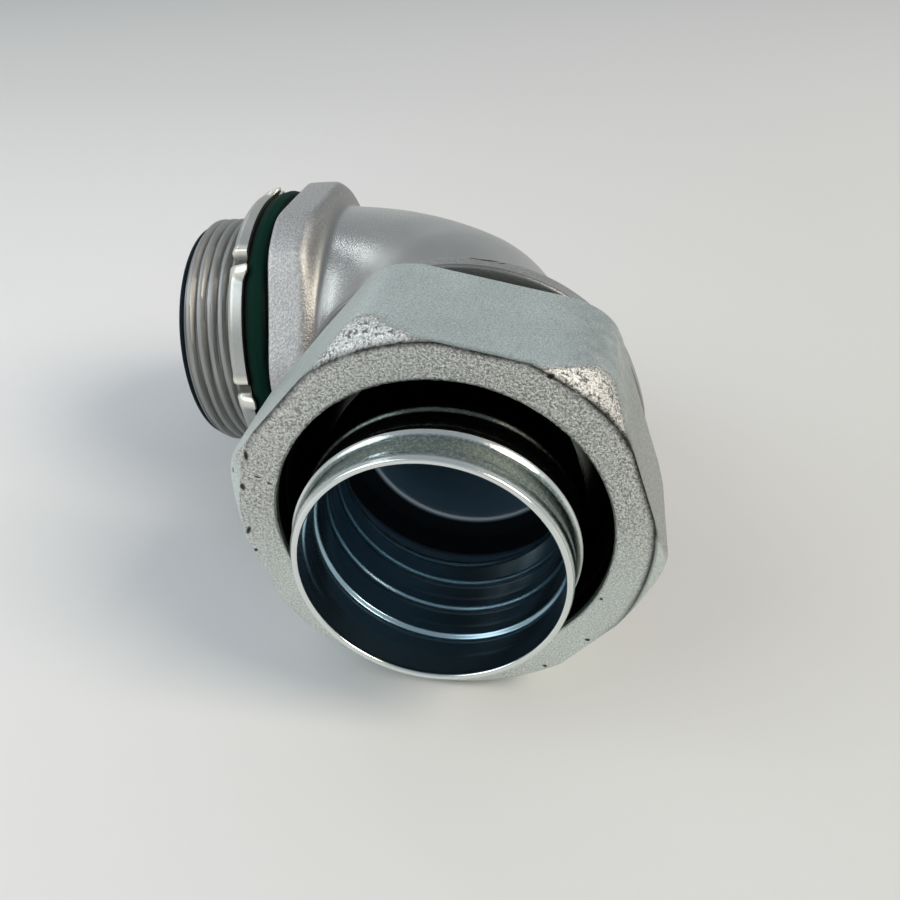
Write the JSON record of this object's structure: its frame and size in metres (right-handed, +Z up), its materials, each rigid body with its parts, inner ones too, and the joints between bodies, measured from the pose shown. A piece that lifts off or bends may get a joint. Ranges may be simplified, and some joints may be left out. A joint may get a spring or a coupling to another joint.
{
  "type": "liquidtight conduit connector",
  "caption": "Right-angle liquidtight conduit connector: threaded hub with gasket and locknut, cast elbow, hexagon gland nut with sealing ring, and grounding ferrule.",
  "frame": {"origin": "where the hub axis crosses the flange's sealing face", "axes": "-X out along the hub thread, -Y out along the conduit, +Z up as the connector lies on its side"},
  "size_m": [0.0938, 0.113, 0.0662],
  "materials": {
    "cast_zinc_body": "satin",
    "cast_zinc_nut": "satin",
    "rolled_zinc_steel": "gloss",
    "stamped_zinc_steel": "gloss",
    "gasket_rubber": "matte",
    "ring_plastic": "matte",
    "throat_plastic": "satin"
  },
  "bodies": {
    "elbow": {"elbow_body": "cast_zinc_body", "throat_insulator": "throat_plastic"},
    "ring": {"sealing_ring": "ring_plastic"},
    "nut": {"gland_nut": "cast_zinc_nut"},
    "ferrule": {"grounding_ferrule": "rolled_zinc_steel"},
    "seal": {"gasket": "gasket_rubber"},
    "lock": {"locknut": "stamped_zinc_steel"}
  },
  "joints": [
    {"name": "ring_slide", "type": "slide", "parent": "elbow", "child": "ring", "axis": [0, -1, 0], "range_m": [0, 0.0064]},
    {"name": "nut_turn", "type": "hinge", "parent": "ring", "child": "nut", "pos_m": [0.0395, 0, 0], "axis": [0, -1, 0], "range_deg": [0, 1440]},
    {"name": "ferrule_spin", "type": "hinge", "parent": "elbow", "child": "ferrule", "pos_m": [0.0395, 0, 0], "axis": [0, -1, 0], "continuous": true},
    {"name": "seal_slide", "type": "slide", "parent": "elbow", "child": "seal", "axis": [-1, 0, 0], "range_m": [0, 0.0089]},
    {"name": "locknut_turn", "type": "hinge", "parent": "seal", "child": "lock", "pos_m": [0, 0, 0], "axis": [-1, 0, 0], "range_deg": [0, 1440]}
  ],
  "couplings": [
    {"joint": "ring_slide", "follows": "nut_turn", "m_per_rad": 0.00025266},
    {"joint": "seal_slide", "follows": "locknut_turn", "m_per_rad": 0.00035153}
  ]
}
